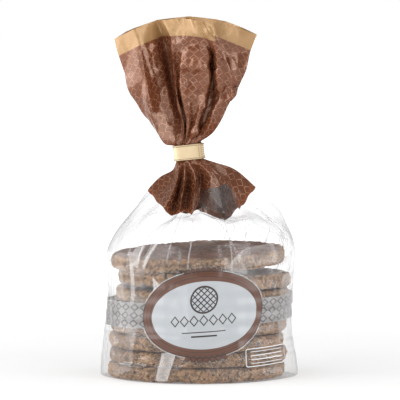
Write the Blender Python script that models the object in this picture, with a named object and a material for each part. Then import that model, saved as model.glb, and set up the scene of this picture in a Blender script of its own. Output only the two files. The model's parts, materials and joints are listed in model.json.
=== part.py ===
"""A film bag of eight round waffles, standing on its base, with the gathered neck held by a flat tie.

Two solids: the bag, filled out to its skin from the base to the flared rim, and the tie round its neck.
Metres, +Z up. The origin is the middle of the footprint, on the surface that the bag stands on.
The front of the bag faces -Y.
"""

import math

import bpy

MM = 0.001

# The load: eight waffles lying flat on each other.
WAFFLE_COUNT = 8
WAFFLE_PITCH = 8.7 * MM
STACK_HEIGHT = WAFFLE_COUNT * WAFFLE_PITCH

# The body wraps the stack, with a pointed corner of loose film left and right at the base.
BODY_HALF_WIDTH = 51.5 * MM
BODY_HALF_DEPTH = 51.0 * MM
CORNER_REACH = 3.5 * MM
CORNER_HEIGHT = 30.0 * MM
CORNER_SHARPNESS = 14
BASE_ROUNDING = 2.0 * MM
SCALLOP_DEPTH = 0.7 * MM

# The tie, and the film that passes through it. The neck stands left of the middle and leans over.
TIE_CENTRE_X = -6.2 * MM
TIE_CENTRE_Z = 124.9 * MM
TIE_TILT = math.radians(6.2)
TIE_HEIGHT = 8.5 * MM
TIE_HALF_WIDTH = 8.6 * MM
TIE_HALF_DEPTH = 3.6 * MM
TIE_WALL = 0.7 * MM
TIE_BEAD_RADIUS = 0.45 * MM
TIE_CLEARANCE = 0.45 * MM
NECK_HALF_WIDTH = TIE_HALF_WIDTH - TIE_WALL - TIE_CLEARANCE
NECK_HALF_DEPTH = TIE_HALF_DEPTH - TIE_WALL - TIE_CLEARANCE

# The flare above the tie is a fan: its rim lies at one film length from the tie's middle.
RIM_RADIUS = 75.5 * MM
RIM_LEVEL = TIE_CENTRE_Z + RIM_RADIUS
MOUTH_RECESS = 4.0 * MM

# The outline above the stack: level, left side, right side and half depth, all in millimetres.
OUTLINE = (
    (STACK_HEIGHT / MM, -52.0, 52.5, 50.5),
    (75.0, -51.0, 51.8, 49.0),
    (80.3, -49.2, 49.4, 46.5),
    (89.3, -41.5, 44.0, 39.0),
    (97.3, -34.5, 39.5, 32.0),
    (104.3, -29.5, 32.0, 27.0),
    (110.3, -24.5, 25.0, 20.0),
    (115.3, -18.0, 15.0, 10.0),
    (118.8, -14.0, 3.5, 3.5),
)
NECK_LEVELS = (120.1, 122.8, 125.8, 128.8, 129.9)
FLARE_OUTLINE = (
    (132.3, -19.5, 4.5, 4.5),
    (138.3, -25.6, 10.3, 9.0),
    (145.3, -30.5, 12.8, 12.0),
    (152.3, -35.5, 16.0, 14.0),
    (159.3, -39.2, 19.3, 15.0),
    (172.3, -43.3, 26.3, 16.0),
    (185.3, -46.3, 30.3, 17.0),
    (RIM_LEVEL / MM, -47.8, 31.8, 18.0),
)

# Folds in turn from the right hand side, each as its direction in degrees and its reach, where 1 is the outline.
SKIRT_FOLDS = (
    (0, 1.0), (28, 0.72), (52, 1.0), (78, 0.62), (104, 1.0), (130, 0.68), (153, 0.95), (167, 0.8),
    (182, 1.0), (205, 0.78), (222, 0.95), (240, 0.62), (257, 1.0), (270, 0.6), (296, 1.1), (322, 0.74),
    (338, 0.92), (349, 0.84),
)  # fmt: skip
# The flare's folds wander as they rise, so each also has its direction and reach at the rim.
FLARE_FOLDS = (
    (4, 1.0, 3, 1.0), (30, 0.66, 28, 0.84), (58, 1.0, 55, 1.0), (90, 0.55, 92, 0.8), (120, 1.0, 121, 1.0),
    (150, 0.64, 152, 0.86), (180, 1.0, 180, 1.0), (224, 1.0, 222, 1.0), (245, 0.4, 240, 0.84),
    (264, 1.06, 256, 1.1), (286, 0.45, 270, 0.96), (318, 1.02, 291, 1.3), (338, 0.55, 313, 0.5),
)  # fmt: skip

# Above the stack the film gathers and takes up the tie's tilt, at these levels in millimetres.
GATHER_LEVELS = (75.5, 80, 84, 88.5, 93, 97, 101, 104.5, 108, 111.5, 114.5, 117.3)
GATHER_START = 75.5
GATHER_RANGE = 22
TILT_START = 105.3
TILT_RANGE = 12
TILT_SHARE = 0.8
FIRST_FLARE_LEVEL = 132.5 * MM
FLARE_STEPS = 13

POINTS_ROUND = 96
LEVELS_PER_WAFFLE = 2

FILM_BROWN = (0.20, 0.075, 0.04, 1.0)
TIE_GOLD = (0.72, 0.50, 0.22, 1.0)


def clear_scene():
    for old in list(bpy.data.objects):
        bpy.data.objects.remove(old, do_unlink=True)


def material(name, colour, roughness, metallic):
    made = bpy.data.materials.new(name)
    made.use_nodes = True
    shader = made.node_tree.nodes["Principled BSDF"]
    shader.inputs["Base Color"].default_value = colour
    shader.inputs["Roughness"].default_value = roughness
    shader.inputs["Metallic"].default_value = metallic
    return made


def mesh_object(name, points, faces, look):
    mesh = bpy.data.meshes.new(name)
    mesh.from_pydata(points, [], faces)
    mesh.update()
    mesh.shade_smooth()
    mesh.set_sharp_from_angle(angle=math.radians(35))
    made = bpy.data.objects.new(name, mesh)
    made.data.materials.append(look)
    bpy.context.scene.collection.objects.link(made)
    return made


def eased(share):
    """0 to 1 with a level start and end."""
    share = min(max(share, 0.0), 1.0)
    return share * share * (3 - 2 * share)


def along(knots, at):
    """The values of a table of knots at a level, along a curve that never overshoots a knot."""
    if at <= knots[0][0]:
        return knots[0][1:]
    if at >= knots[-1][0]:
        return knots[-1][1:]
    last = next(i for i in range(1, len(knots)) if at <= knots[i][0])

    def slope(i, column):
        """The slope at a knot: the mean of its two sides, or level where the table turns."""
        if i in (0, len(knots) - 1):
            return 0.0
        before = (knots[i][column] - knots[i - 1][column]) / (knots[i][0] - knots[i - 1][0])
        after = (knots[i + 1][column] - knots[i][column]) / (knots[i + 1][0] - knots[i][0])
        return 0.0 if before * after <= 0 else 2 * before * after / (before + after)

    low, high = knots[last - 1], knots[last]
    span = high[0] - low[0]
    t = (at - low[0]) / span
    found = []
    for column in range(1, len(low)):
        rise = high[column] - low[column]
        start = slope(last - 1, column) * span
        end = slope(last, column) * span
        found.append(low[column] + start * t + (3 * rise - 2 * start - end) * t * t
                     + (start + end - 2 * rise) * t ** 3)
    return found


def reach_of(folds, turn):
    """How far the film reaches in one direction, easing from each fold to the next."""
    folds = sorted((angle % 360, reach) for angle, reach in folds)
    folds = [(folds[-1][0] - 360, folds[-1][1]), *folds, (folds[0][0] + 360, folds[0][1])]
    degrees = math.degrees(turn) % 360
    for (start, a), (end, b) in zip(folds, folds[1:]):
        if start <= degrees <= end:
            return a + (b - a) * eased((degrees - start) / (end - start))
    return 1.0


def folds_at(share):
    """The flare's folds at a share of the way from its waist to its rim."""
    mix = eased(share)
    return [(low + (high - low) * mix, a + (b - a) * mix) for low, a, high, b in FLARE_FOLDS]


def turns():
    return [2 * math.pi * i / POINTS_ROUND for i in range(POINTS_ROUND)]


def corner(turn):
    """1 at the left and right points of the base, and 0 round the rest of the bag."""
    return abs(math.cos(turn)) ** CORNER_SHARPNESS


def body_ring(level, inset=0.0):
    """A ring round the waffle stack, drawn in a little where one waffle meets the next."""
    joint = abs(level / WAFFLE_PITCH - round(level / WAFFLE_PITCH)) < 0.01
    draw_in = inset + (SCALLOP_DEPTH if joint and level > 0 else 0.0)
    spread = CORNER_REACH * (1 - eased(level / CORNER_HEIGHT)) * (1 if inset == 0 else 0.5)
    ring = []
    for turn in turns():
        x = (BODY_HALF_WIDTH - draw_in + spread * corner(turn)) * math.cos(turn)
        y = (BODY_HALF_DEPTH - draw_in) * math.sin(turn)
        ring.append((x, y, level))
    return ring


def gathered_ring(level, sides, folds, depth_of_folds):
    """A ring of folded film between the left and right sides at one level."""
    left, right, half_depth = (side * MM for side in sides)
    centre, half_width = (left + right) / 2, (right - left) / 2
    ring = []
    for turn in turns():
        reach = 1 - (1 - reach_of(folds, turn)) * depth_of_folds
        x = centre + half_width * math.cos(turn) * reach
        y = half_depth * math.sin(turn) * reach
        ring.append((x, y, level))
    return ring


def neck_ring(level):
    """The bunched film inside the tie, square to it."""
    rise = level - TIE_CENTRE_Z
    centre = TIE_CENTRE_X - math.sin(TIE_TILT) * rise
    ring = []
    for turn in turns():
        across = NECK_HALF_WIDTH * math.cos(turn)
        x = centre + across * math.cos(TIE_TILT)
        z = TIE_CENTRE_Z + math.cos(TIE_TILT) * rise + across * math.sin(TIE_TILT)
        ring.append((x, NECK_HALF_DEPTH * math.sin(turn), z))
    return ring


def tilted(ring, share):
    """A ring next to the tie, leaning with it by a share of its tilt."""
    slope = math.tan(TIE_TILT) * share
    return [(x, y, z + (x - TIE_CENTRE_X) * slope) for x, y, z in ring]


def flare_ring(level, share):
    """A ring of the flare, its sides drawn down so that the rim keeps its length from the tie."""
    sides = along(FLARE_OUTLINE, level / MM)
    ring = gathered_ring(level, sides, folds_at(share), min(1.0, 0.35 + 1.6 * share))
    drawn = []
    for x, y, z in ring:
        off = min((x - TIE_CENTRE_X) ** 2 + y * y, RIM_RADIUS ** 2 * 0.6)
        drop = RIM_RADIUS - math.sqrt(RIM_RADIUS ** 2 - off)
        drawn.append((x, y, z - drop * share ** 3))
    return tilted(drawn, TILT_SHARE * (1 - eased(share * 3)))


def bag_rings():
    """Every ring of the bag's skin, from the edge of its flat base to the flared rim."""
    rings = [body_ring(0.0, inset=BASE_ROUNDING), body_ring(BASE_ROUNDING * 0.6)]
    step = WAFFLE_PITCH / LEVELS_PER_WAFFLE
    for i in range(1, WAFFLE_COUNT * LEVELS_PER_WAFFLE):
        rings.append(body_ring(i * step))
    for level in GATHER_LEVELS:
        gather = eased((level - GATHER_START) / GATHER_RANGE)
        ring = gathered_ring(level * MM, along(OUTLINE, level), SKIRT_FOLDS, gather)
        rings.append(tilted(ring, eased((level - TILT_START) / TILT_RANGE) * TILT_SHARE))
    for level in NECK_LEVELS:
        rings.append(neck_ring(level * MM))
    for i in range(FLARE_STEPS + 1):
        share = i / FLARE_STEPS
        level = FIRST_FLARE_LEVEL + (RIM_LEVEL - FIRST_FLARE_LEVEL) * share ** 1.25
        rings.append(flare_ring(level, share))
    return rings


def bag():
    rings = bag_rings()
    points = [point for ring in rings for point in ring]
    count = POINTS_ROUND
    faces = []
    for level in range(len(rings) - 1):
        for i in range(count):
            j = (i + 1) % count
            low, high = level * count, (level + 1) * count
            faces.append((low + i, low + j, high + j, high + i))
    base_middle = len(points)
    points.append((0.0, 0.0, 0.0))
    rim = rings[-1]
    mouth_middle = len(points)
    points.append((sum(x for x, _, _ in rim) / count, 0.0, max(z for _, _, z in rim) - MOUTH_RECESS))
    top = (len(rings) - 1) * count
    for i in range(count):
        j = (i + 1) % count
        faces.append((base_middle, j, i))
        faces.append((mouth_middle, top + i, top + j))
    return mesh_object("bag", points, faces, material("printed_film", FILM_BROWN, 0.3, 0.0))


def tie_outline(outset):
    """The tie's flattened loop seen from above: two straight runs and two round ends."""
    half_depth = TIE_HALF_DEPTH + outset
    straight = TIE_HALF_WIDTH - TIE_HALF_DEPTH
    steps = 12
    loop = []
    for side, start in ((1, -90), (-1, 90)):
        for i in range(steps + 1):
            angle = math.radians(start + 180 * i / steps)
            loop.append((side * straight + half_depth * math.cos(angle), half_depth * math.sin(angle)))
    return loop


def tie_profile():
    """The band's section as (outset, height): a thin wall with a bead along its top and bottom edges."""
    half = TIE_HEIGHT / 2
    profile = [(-TIE_WALL, -half), (-TIE_WALL, half)]
    for centre in (half - TIE_BEAD_RADIUS, TIE_BEAD_RADIUS - half):
        for i in range(5):
            angle = math.radians(90 - 45 * i)
            profile.append((TIE_BEAD_RADIUS * math.cos(angle), centre + TIE_BEAD_RADIUS * math.sin(angle)))
    return profile


def tie():
    profile = tie_profile()
    loops = [[(x, y, height) for x, y in tie_outline(outset)] for outset, height in profile]
    points = [point for loop in loops for point in loop]
    count = len(loops[0])
    faces = []
    for k in range(len(loops)):
        here, after = k * count, (k + 1) % len(loops) * count
        for i in range(count):
            j = (i + 1) % count
            faces.append((here + i, after + i, after + j, here + j))
    made = mesh_object("tie", points, faces, material("gold_strip", TIE_GOLD, 0.35, 0.3))
    made.location = (TIE_CENTRE_X, 0.0, TIE_CENTRE_Z)
    made.rotation_euler = (0.0, -TIE_TILT, 0.0)
    return made


clear_scene()
bag()
tie()
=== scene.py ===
"""Looks of a film bag of eight syrup waffles: printed, gathered film above, clear film round the stack.

Metres in the meshes, millimetres in the tables and in the film's own UV map. The front faces -Y.
"""

import json
import math

import bpy
import numpy as np
from mathutils import Matrix, Vector

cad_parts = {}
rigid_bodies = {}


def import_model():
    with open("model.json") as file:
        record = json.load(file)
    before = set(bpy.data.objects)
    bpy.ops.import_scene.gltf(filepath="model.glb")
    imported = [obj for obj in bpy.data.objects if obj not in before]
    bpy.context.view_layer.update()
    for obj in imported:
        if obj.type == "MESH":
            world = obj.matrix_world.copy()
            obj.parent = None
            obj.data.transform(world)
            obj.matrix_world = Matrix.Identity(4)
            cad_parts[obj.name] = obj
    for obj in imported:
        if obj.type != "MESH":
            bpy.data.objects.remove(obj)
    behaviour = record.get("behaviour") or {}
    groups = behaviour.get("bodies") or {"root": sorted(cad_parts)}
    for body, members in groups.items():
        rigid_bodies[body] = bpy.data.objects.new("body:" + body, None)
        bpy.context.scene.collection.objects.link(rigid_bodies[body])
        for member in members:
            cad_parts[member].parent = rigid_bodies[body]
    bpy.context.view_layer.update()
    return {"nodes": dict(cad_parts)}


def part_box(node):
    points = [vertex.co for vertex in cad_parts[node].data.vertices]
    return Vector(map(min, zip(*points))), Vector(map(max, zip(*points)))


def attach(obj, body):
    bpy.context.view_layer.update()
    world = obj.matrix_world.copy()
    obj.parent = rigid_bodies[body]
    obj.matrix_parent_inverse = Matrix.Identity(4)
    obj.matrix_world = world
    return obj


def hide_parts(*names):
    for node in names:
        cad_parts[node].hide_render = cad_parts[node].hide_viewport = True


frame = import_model()
BAG_LOW, BAG_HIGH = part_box("bag")
TIE_LOW, TIE_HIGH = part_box("tie")

MM = 0.001
SEED = 11
QUICK_STEPS = 0
LATTICE_PITCH = 8.2

# The tie leans over, and the film runs through it.
TIE_CENTRE = np.array((TIE_LOW + TIE_HIGH) / 2) / MM
TIE_TILT = math.radians(6.2)
TIE_HALF_HEIGHT = 4.25
TIE_RIGHT_END = 8.6
TIE_FRONT = 3.6
CRIMP_WIDTH = 2.3
CRIMP_TEETH = 7
NECK_HALF_WIDTH = 7.1
NECK_HALF_DEPTH = 2.15
NECK_PLEATS = 23

# The stack, counted from the lowest waffle: where its middle lies (x, y), the level of its underside,
# its radius, and how far it tilts down to the front and to the right, in degrees.
WAFFLE_THICKNESS = 7.9
WAFER_THICKNESS = 3.93
WAFFLES = (
    (-1.8, -0.2, 0.45, 48.8, 0.0, 0.0),
    (-1.0, 0.4, 8.7, 48.5, 0.15, -0.2),
    (-2.2, -0.4, 17.0, 48.6, 0.0, 0.2),
    (-0.6, 0.4, 25.4, 48.4, 0.1, -0.2),
    (-0.4, -0.4, 33.8, 48.4, 0.2, 0.3),
    (2.0, 0.3, 42.4, 47.8, 0.3, 0.5),
    (2.4, -0.2, 51.3, 47.9, -0.7, 1.3),
    (-0.8, 0.0, 62.4, 48.2, 2.0, -2.2),
)

# The clear film round the stack: level, left side, right side, half depth.
BODY_OUTLINE = (
    (0.0, -51.8, 51.0, 50.6),
    (14.0, -52.6, 50.8, 50.8),
    (27.0, -52.9, 50.4, 51.0),
    (40.0, -51.9, 50.6, 51.0),
    (50.0, -50.9, 51.8, 50.8),
    (60.0, -51.5, 53.0, 50.6),
    (70.0, -52.0, 53.2, 50.2),
)
BODY_TOP = 70.0
SHOULDER_LEVEL = 79.3
SHOULDER_SHARE = 0.932
SHOULDER_LEAN = 0.022
CORNER_REACH = 3.6
CORNER_HEIGHT = 34.0
CORNER_SHARPNESS = 16
BASE_LEVEL = 0.25
BASE_ROUNDING = 1.6
FILM_CLEARANCE = 2.0

# Folds of the skirt under the tie, in turn from the left to the front and round: the direction in
# which each meets the shoulder, in degrees, then its (x, y, z) at three stations. The last station
# is where the print ends. Then how far the dome bulges between that and the shoulder.
SKIRT_FOLDS = (
    (180, (-15.5, 0, 114.8), (-22, 0, 111.3), (-29, 0, 103.7), 0.0),
    (199, (-14, -4, 112.3), (-18.5, -6.5, 106.0), (-25.5, -9.5, 99.8), 0.5),
    (219, (-12.5, -10, 111.3), (-15.5, -18, 102.8), (-20.5, -23, 95.3), 1.5),
    (234, (-10.5, -5, 111.3), (-12.5, -9.5, 101.3), (-15.8, -18.5, 90.6), 0.5),
    (247, (-8.6, -10.5, 111.3), (-10.0, -18.5, 101.3), (-11.8, -24, 92.4), 1.5),
    (257, (-6.6, -4, 111.3), (-7.4, -8.5, 100.8), (-9.0, -17.0, 93.6), 0.5),
    (266, (-2.5, -10, 111.8), (-3, -18.5, 101.8), (-4.6, -24.5, 91.6), 2.0),
    (276, (0, -2.5, 112.8), (-0.5, -6.5, 103.8), (-1.5, -14.0, 96.0), 0.5),
    (291, (5, -9, 113.8), (10.5, -17, 104.3), (13, -24, 92.3), 2.5),
    (309, (8.5, -7, 114.8), (17, -13, 104.8), (21, -19, 93.3), 2.5),
    (330, (8, -3, 115.8), (16.5, -7, 107.3), (24, -10, 96.3), 1.0),
    (360, (9.5, 0, 118.8), (20, 0, 115.3), (31.2, 0, 105.9), 2.1),
    (382, (8, 4, 114.8), (15, 7, 105.3), (22, 12, 93.3), 1.0),
    (405, (6, 9, 113.8), (11, 17, 102.3), (14, 25, 84.6), 2.5),
    (425, (1, 6, 112.3), (3, 11, 101.3), (5, 17, 88.8), 0.5),
    (445, (-2, 10, 111.8), (-1, 18, 100.3), (-1, 26, 91.0), 2.0),
    (465, (-6.5, 6, 111.8), (-7, 11, 101.3), (-8, 17, 89.3), 0.5),
    (485, (-10.5, 9.5, 111.3), (-14, 17.5, 101.3), (-18, 25, 90.3), 2.0),
    (505, (-12.5, 4.5, 112.3), (-16, 8, 105.3), (-20, 13, 97.6), 0.5),
    (522, (-15, 5, 113.3), (-20, 10, 106.3), (-27, 14, 100.6), 1.0),
)
# Which of those folds turn inwards, and the share of the last stretch where the print ends early.
SKIRT_VALLEYS = (1, 3, 5, 7, 10, 12, 14, 16, 18)
WINDOW_FOLDS = (7.02, 9.3)
WINDOW_TOP = 1.95

# Folds of the flare above the tie, in the same order: (x, y) at five lengths of film from the tie.
FLARE_LENGTHS = (14.0, 30.0, 48.0, 66.0, 75.5)
FLARE_FOLDS = (
    ((-19, 1), (-29.5, 0), (-38.7, -2), (-45.3, -3), (-47.9, -3)),
    ((-19.5, -4), (-27.3, -9), (-29.9, -13), (-33.2, -14), (-36.5, -13)),
    ((-10, 0.5), (-13.9, 1), (-16.3, 1), (-20.6, -4), (-24, -7)),
    ((-9, -7), (-12.3, -12), (-14.7, -14), (-16.7, -15), (-20.4, -13)),
    ((-8.2, -2), (-10.9, -6), (-12.5, -11), (-13.4, -15.5), (-15.6, -15)),
    ((-6.9, -6.5), (-8.9, -12), (-10.9, -15), (-8.9, -18), (-10.6, -16.5)),
    ((-5.2, -3), (-4.2, -11), (-3.4, -17), (-3.5, -20), (-5.2, -20)),
    ((-2.5, -6.5), (2.2, -12), (4.8, -15), (1.7, -22.5), (-2.2, -24)),
    ((-0.6, -1), (6.0, -2), (7.2, -4), (5, -23), (0, -27)),
    ((2.5, -6), (8.9, -13), (10.2, -18), (7.2, -25.5), (1.7, -29)),
    ((4.5, -4), (13.9, -11), (18.1, -18), (9, -26), (2.8, -32)),
    ((-1, 0), (-1, -1), (0, -2), (-4, -4), (-8.4, -5)),
    ((0.5, 2), (4, 1.5), (7, 0), (8.5, -1), (9.5, -1)),
    ((4, 2), (13, 4), (23.1, 3), (28.7, 2), (31.7, 2)),
    ((2, 5), (9, 9), (16, 12), (21, 13), (23.5, 14)),
    ((0.5, 2.5), (5, 4), (9, 4.5), (12, 5), (14, 5.5)),
    ((-2, 6.5), (1, 11.5), (3, 14.5), (5, 17), (6, 18)),
    ((-5.5, 2.5), (-6, 4), (-6, 5), (-6, 6), (-6, 6.5)),
    ((-8.5, 6.5), (-11, 12), (-13, 15.5), (-15, 18), (-16, 19)),
    ((-10.5, 2.5), (-14.5, 4.5), (-18.5, 5.5), (-22, 6.5), (-24, 7)),
    ((-14, 5.5), (-20, 10), (-27, 12.5), (-33, 14), (-36, 14.5)),
    ((-15.5, 2.5), (-23.5, 4.5), (-31, 5), (-37.5, 5.5), (-41, 5.5)),
)
# The sharp valleys that cut the flare into panels, and the fold that carries the print in each.
FLARE_VALLEYS = (2, 4, 8, 11, 15, 17, 19, 21)
FLARE_CARRIERS = (3, 6, 9, 13, 16, 18, 20, 23)
LEAN_WEIGHT = 0.6

# Straight creases pressed into the front of the flare: height, half width, then points (x, z).
FLARE_CREASES = (
    (0.9, 3.2, ((-6.1, 181.6), (-10.4, 172.2), (-11.2, 163.5), (-9.0, 156.3), (-6.5, 148.0))),
    (0.9, 3.2, ((-6.1, 181.6), (1.2, 182.7), (4.8, 178.7), (8.8, 177.3), (11.3, 166.4), (10.6, 160.6))),
    (-0.9, 5.0, ((-17.7, 188.1), (-21.7, 182.3), (-23.8, 170.0), (-22.7, 162.1))),
    (1.2, 2.6, ((5.5, 170.0), (3.3, 160.6), (1.2, 150.5), (-3.2, 136.0))),
    (-0.9, 2.6, ((7.4, 172.0), (6.0, 160.0), (4.0, 151.0), (0.5, 142.0))),
    (1.4, 2.2, ((9.1, 170.0), (8.4, 160.6), (6.2, 153.4), (2.6, 145.4))),
    (0.7, 2.4, ((-7.5, 156.3), (-6.8, 146.1), (-6.1, 134.3))),
    (0.6, 2.4, ((-6.1, 151.9), (-3.5, 149.0), (-4.6, 137.4))),
    (0.9, 3.6, ((4.1, 191.8), (10.6, 181.6), (16.4, 172.9), (17.8, 165.0), (18.9, 157.7))),
    (-0.9, 3.0, ((13.5, 176.0), (15.6, 166.0), (14.5, 158.0))),
    (1.2, 4.6, ((17.5, 156.3), (8.4, 151.2), (3.3, 143.9), (-2.5, 136.0))),
    (-1.4, 3.2, ((19.0, 161.5), (10.0, 156.5), (4.5, 149.0), (-0.8, 140.0))),
    (0.4, 3.0, ((-23.8, 170.0), (-27.0, 163.1), (-22.7, 162.1))),
    (1.7, 4.2, ((-7.0, 174.0), (1.5, 172.0), (2.0, 164.5), (-5.0, 158.0), (0.5, 152.0))),
    (-1.5, 4.0, ((-9.0, 168.5), (-2.5, 162.0), (-1.0, 154.0))),
    (1.4, 3.4, ((-24.5, 184.0), (-21.5, 172.0), (-18.5, 158.0), (-15.0, 145.0))),
    (-1.0, 4.5, ((-31.0, 181.0), (-26.5, 166.0), (-22.0, 150.0))),
    (0.6, 4.5, ((-15.4, 183.0), (-6.0, 190.5), (4.0, 191.8))),
    (0.7, 4.5, ((24.0, 170.0), (20.0, 163.0), (19.5, 152.0))),
    (-0.7, 4.0, ((-33.5, 152.0), (-29.0, 150.0), (-25.5, 145.0))),
    (2.2, 11.0, ((-40.0, 158.5), (-36.0, 151.0))),
)

GOLD_EDGE = 66.3
FILM_THICKNESS = 0.12
COLUMNS = 440
# Length round the bag for its waves, the radius its print wraps at, and the film between two stations
# of the skirt.
ROUND_LENGTH = 325.0
WRAP_RADIUS = 51.5
STATION_LENGTH = 12.5
# Film from the tie's middle to its upper edge, and how far the skirt's print lies from the flare's.
NECK_LENGTH = 4.45
SKIRT_PRINT_SHIFT = 2000

# Middle of the oval label and of the small panel in film coordinates, and the panel's slope.
LABEL_X = 2.7
LABEL_Z = 38.6
PANEL_X = 43.4
PANEL_Z = 14.4
PANEL_TILT = 0.03

# The camera: its distance and the width it sees in metres, its rise in degrees, the height it looks at.
CAMERA_DISTANCE = 2.6
CAMERA_RISE = 3.8
VIEW_WIDTH = 0.2228
VIEW_MIDDLE = 0.0981

BROWN = (0.125, 0.038, 0.017)
BROWN_ORANGE = (0.19, 0.055, 0.022)
DIAMOND_LINE = (0.42, 0.22, 0.13)
GOLD = (0.33, 0.195, 0.085)
# Painted shade: the film's greyish inner backing as the darker grey-violet it shows in shadow.
BACKING_IN_SHADE = (0.20, 0.17, 0.215)
PALE_GOLD = (0.60, 0.47, 0.29)
WAFFLE_RIM = (0.27, 0.145, 0.066)
WAFFLE_FACE = (0.150, 0.058, 0.032)
# Dark scorched brown of the grooves and specks, also used as painted shade in the rim's pits.
SCORCH_AND_PIT_SHADE = (0.035, 0.016, 0.010)
CRUMB_PALE = (0.44, 0.28, 0.145)
SYRUP = (0.030, 0.011, 0.006)
LABEL_WHITE = (0.40, 0.42, 0.44)
FRAME_BROWN = (0.105, 0.040, 0.022)
INK = (0.030, 0.020, 0.018)
BAND_GREY = (0.29, 0.28, 0.28)


# ---- shader maths ----------------------------------------------------------------------------------


class Flow:
    """A socket of a material's nodes that takes part in plain arithmetic."""

    def __init__(self, tree, socket=None):
        self.tree = tree
        self.socket = socket

    def node(self, kind, settings=None, sockets=None, out=0):
        made = self.tree.nodes.new(kind)
        for name, value in (settings or {}).items():
            setattr(made, name, value)
        for name, value in (sockets or {}).items():
            self.feed(made.inputs[name], value)
        return Flow(self.tree, made.outputs[out])

    def feed(self, socket, value):
        if isinstance(value, Flow):
            self.tree.links.new(value.socket, socket)
        elif isinstance(value, tuple) and len(value) == 3 and socket.type == "RGBA":
            socket.default_value = (*value, 1.0)
        else:
            socket.default_value = value

    def math(self, operation, *values, clamp=False):
        sockets = dict(enumerate(values))
        return self.node("ShaderNodeMath", {"operation": operation, "use_clamp": clamp}, sockets)

    def mix(self, share, low, high):
        """A colour between two colours."""
        sockets = {"Factor": share, 6: low, 7: high}
        return self.node("ShaderNodeMix", {"data_type": "RGBA"}, sockets, out=2)

    def blend(self, share, low, high):
        """A shader between two shaders."""
        return self.node("ShaderNodeMixShader", None, {0: share, 1: low, 2: high})

    def step(self, start, end):
        """0 below start and 1 above end, with an eased slope between."""
        settings = {"interpolation_type": "SMOOTHSTEP"}
        sockets = {"Value": self, "From Min": start, "From Max": end}
        return self.node("ShaderNodeMapRange", settings, sockets)

    def band(self, centre, half_width, soft):
        """1 within half_width of centre."""
        off = (self - centre).absolute()
        return 1 - off.step(half_width - soft, half_width + soft)

    def wrapped(self, pitch):
        """The distance from the middle of the pitch that the value falls in."""
        return self.math("FLOORED_MODULO", self, pitch) - pitch / 2

    def absolute(self):
        return self.math("ABSOLUTE", self)

    def maximum(self, other):
        return self.math("MAXIMUM", self, other)

    def minimum(self, other):
        return self.math("MINIMUM", self, other)

    def clamped(self):
        return self.math("ADD", self, 0.0, clamp=True)

    def __add__(self, other):
        return self.math("ADD", self, other)

    __radd__ = __add__

    def __sub__(self, other):
        return self.math("SUBTRACT", self, other)

    def __rsub__(self, other):
        return self.math("SUBTRACT", other, self)

    def __mul__(self, other):
        return self.math("MULTIPLY", self, other)

    __rmul__ = __mul__

    def __truediv__(self, other):
        return self.math("DIVIDE", self, other)

    def __pow__(self, other):
        return self.math("POWER", self, other)


def new_material(name):
    """A material with an empty tree, as (material, flow)."""
    made = bpy.data.materials.new(name)
    made.use_nodes = True
    made.node_tree.nodes.clear()
    return made, Flow(made.node_tree)


def finish_material(made, flow, shader):
    output = made.node_tree.nodes.new("ShaderNodeOutputMaterial")
    flow.feed(output.inputs["Surface"], shader)
    return made


def noise(flow, scale, detail=3.0, roughness=0.55, where=None, stretch=None):
    """Noise of a given scale per metre on the piece's own coordinates."""
    place = where or flow.node("ShaderNodeTexCoord", out=3)
    if stretch:
        place = flow.node("ShaderNodeMapping", None, {"Vector": place, "Scale": stretch})
    sockets = {"Vector": place, "Scale": scale, "Detail": detail, "Roughness": roughness}
    return flow.node("ShaderNodeTexNoise", None, sockets)


def film_place(flow):
    """The film's own coordinates in millimetres: round the bag, and along the film."""
    uv = flow.node("ShaderNodeUVMap", {"uv_map": "film"})
    across = flow.node("ShaderNodeSeparateXYZ", None, {0: uv})
    return across, Flow(flow.tree, across.socket.node.outputs[1])


def measure(flow, name):
    """A number that the mesh carries in an attribute."""
    return flow.node("ShaderNodeAttribute", {"attribute_name": name}, out=2)


def diamonds(across, up, pitch_across, pitch_up, half_across, half_up, line):
    """Thin diamond outlines in rows and columns, as a mask."""
    dx = across.wrapped(pitch_across).absolute() / half_across
    dz = up.wrapped(pitch_up).absolute() / half_up
    return (dx + dz).band(1.0, line, 0.07)


# ---- materials -------------------------------------------------------------------------------------


def printed_film():
    """Glossy brown print with thin diamond outlines and a gold band along the rim."""
    made, flow = new_material("printed_film")
    across, along = film_place(flow)
    lines = diamonds(across, along, 6.0, 4.35, 2.45, 1.85, 0.10)
    worn = noise(flow, 260.0, 2.0).step(0.35, 0.62)
    brown = flow.mix(noise(flow, 60.0, 3.0).step(0.3, 0.7), BROWN, tuple(c * 1.25 for c in BROWN))
    # Painted shade: the print on the skirt below the tie is darkened.
    skirt = 1 - (along + 12.0).step(-6.0, 4.0)
    brown = flow.mix(skirt * 0.45, brown, tuple(c * 0.45 for c in BROWN))
    sheer = 1 - (along + 34.5).step(0.0, 3.0)
    brown = flow.mix(sheer * 0.8, brown, BROWN_ORANGE)
    lined = flow.mix(lines * (0.30 + 0.45 * worn), brown, DIAMOND_LINE)
    gold = flow.mix(noise(flow, 45.0, 2.0).step(0.3, 0.7), GOLD, tuple(c * 1.12 for c in GOLD))
    on_gold = along.step(GOLD_EDGE - 0.12, GOLD_EDGE + 0.12)
    colour = flow.mix(on_gold, lined, gold)
    rough = 0.13 + 0.08 * noise(flow, 90.0, 2.0) + 0.10 * on_gold
    crinkle = noise(flow, 330.0, 3.0, 0.6)
    sockets = {"Strength": 0.10, "Distance": 0.0005, "Height": crinkle}
    bump = flow.node("ShaderNodeBump", None, sockets)
    sockets = {"Base Color": colour, "Roughness": rough, "Metallic": 0.12 + 0.06 * on_gold,
               "Specular IOR Level": 0.85, "Specular Tint": (1.0, 0.80, 0.66, 1.0), "Normal": bump}
    shader = flow.node("ShaderNodeBsdfPrincipled", None, sockets)
    return finish_material(made, flow, shader)


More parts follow.
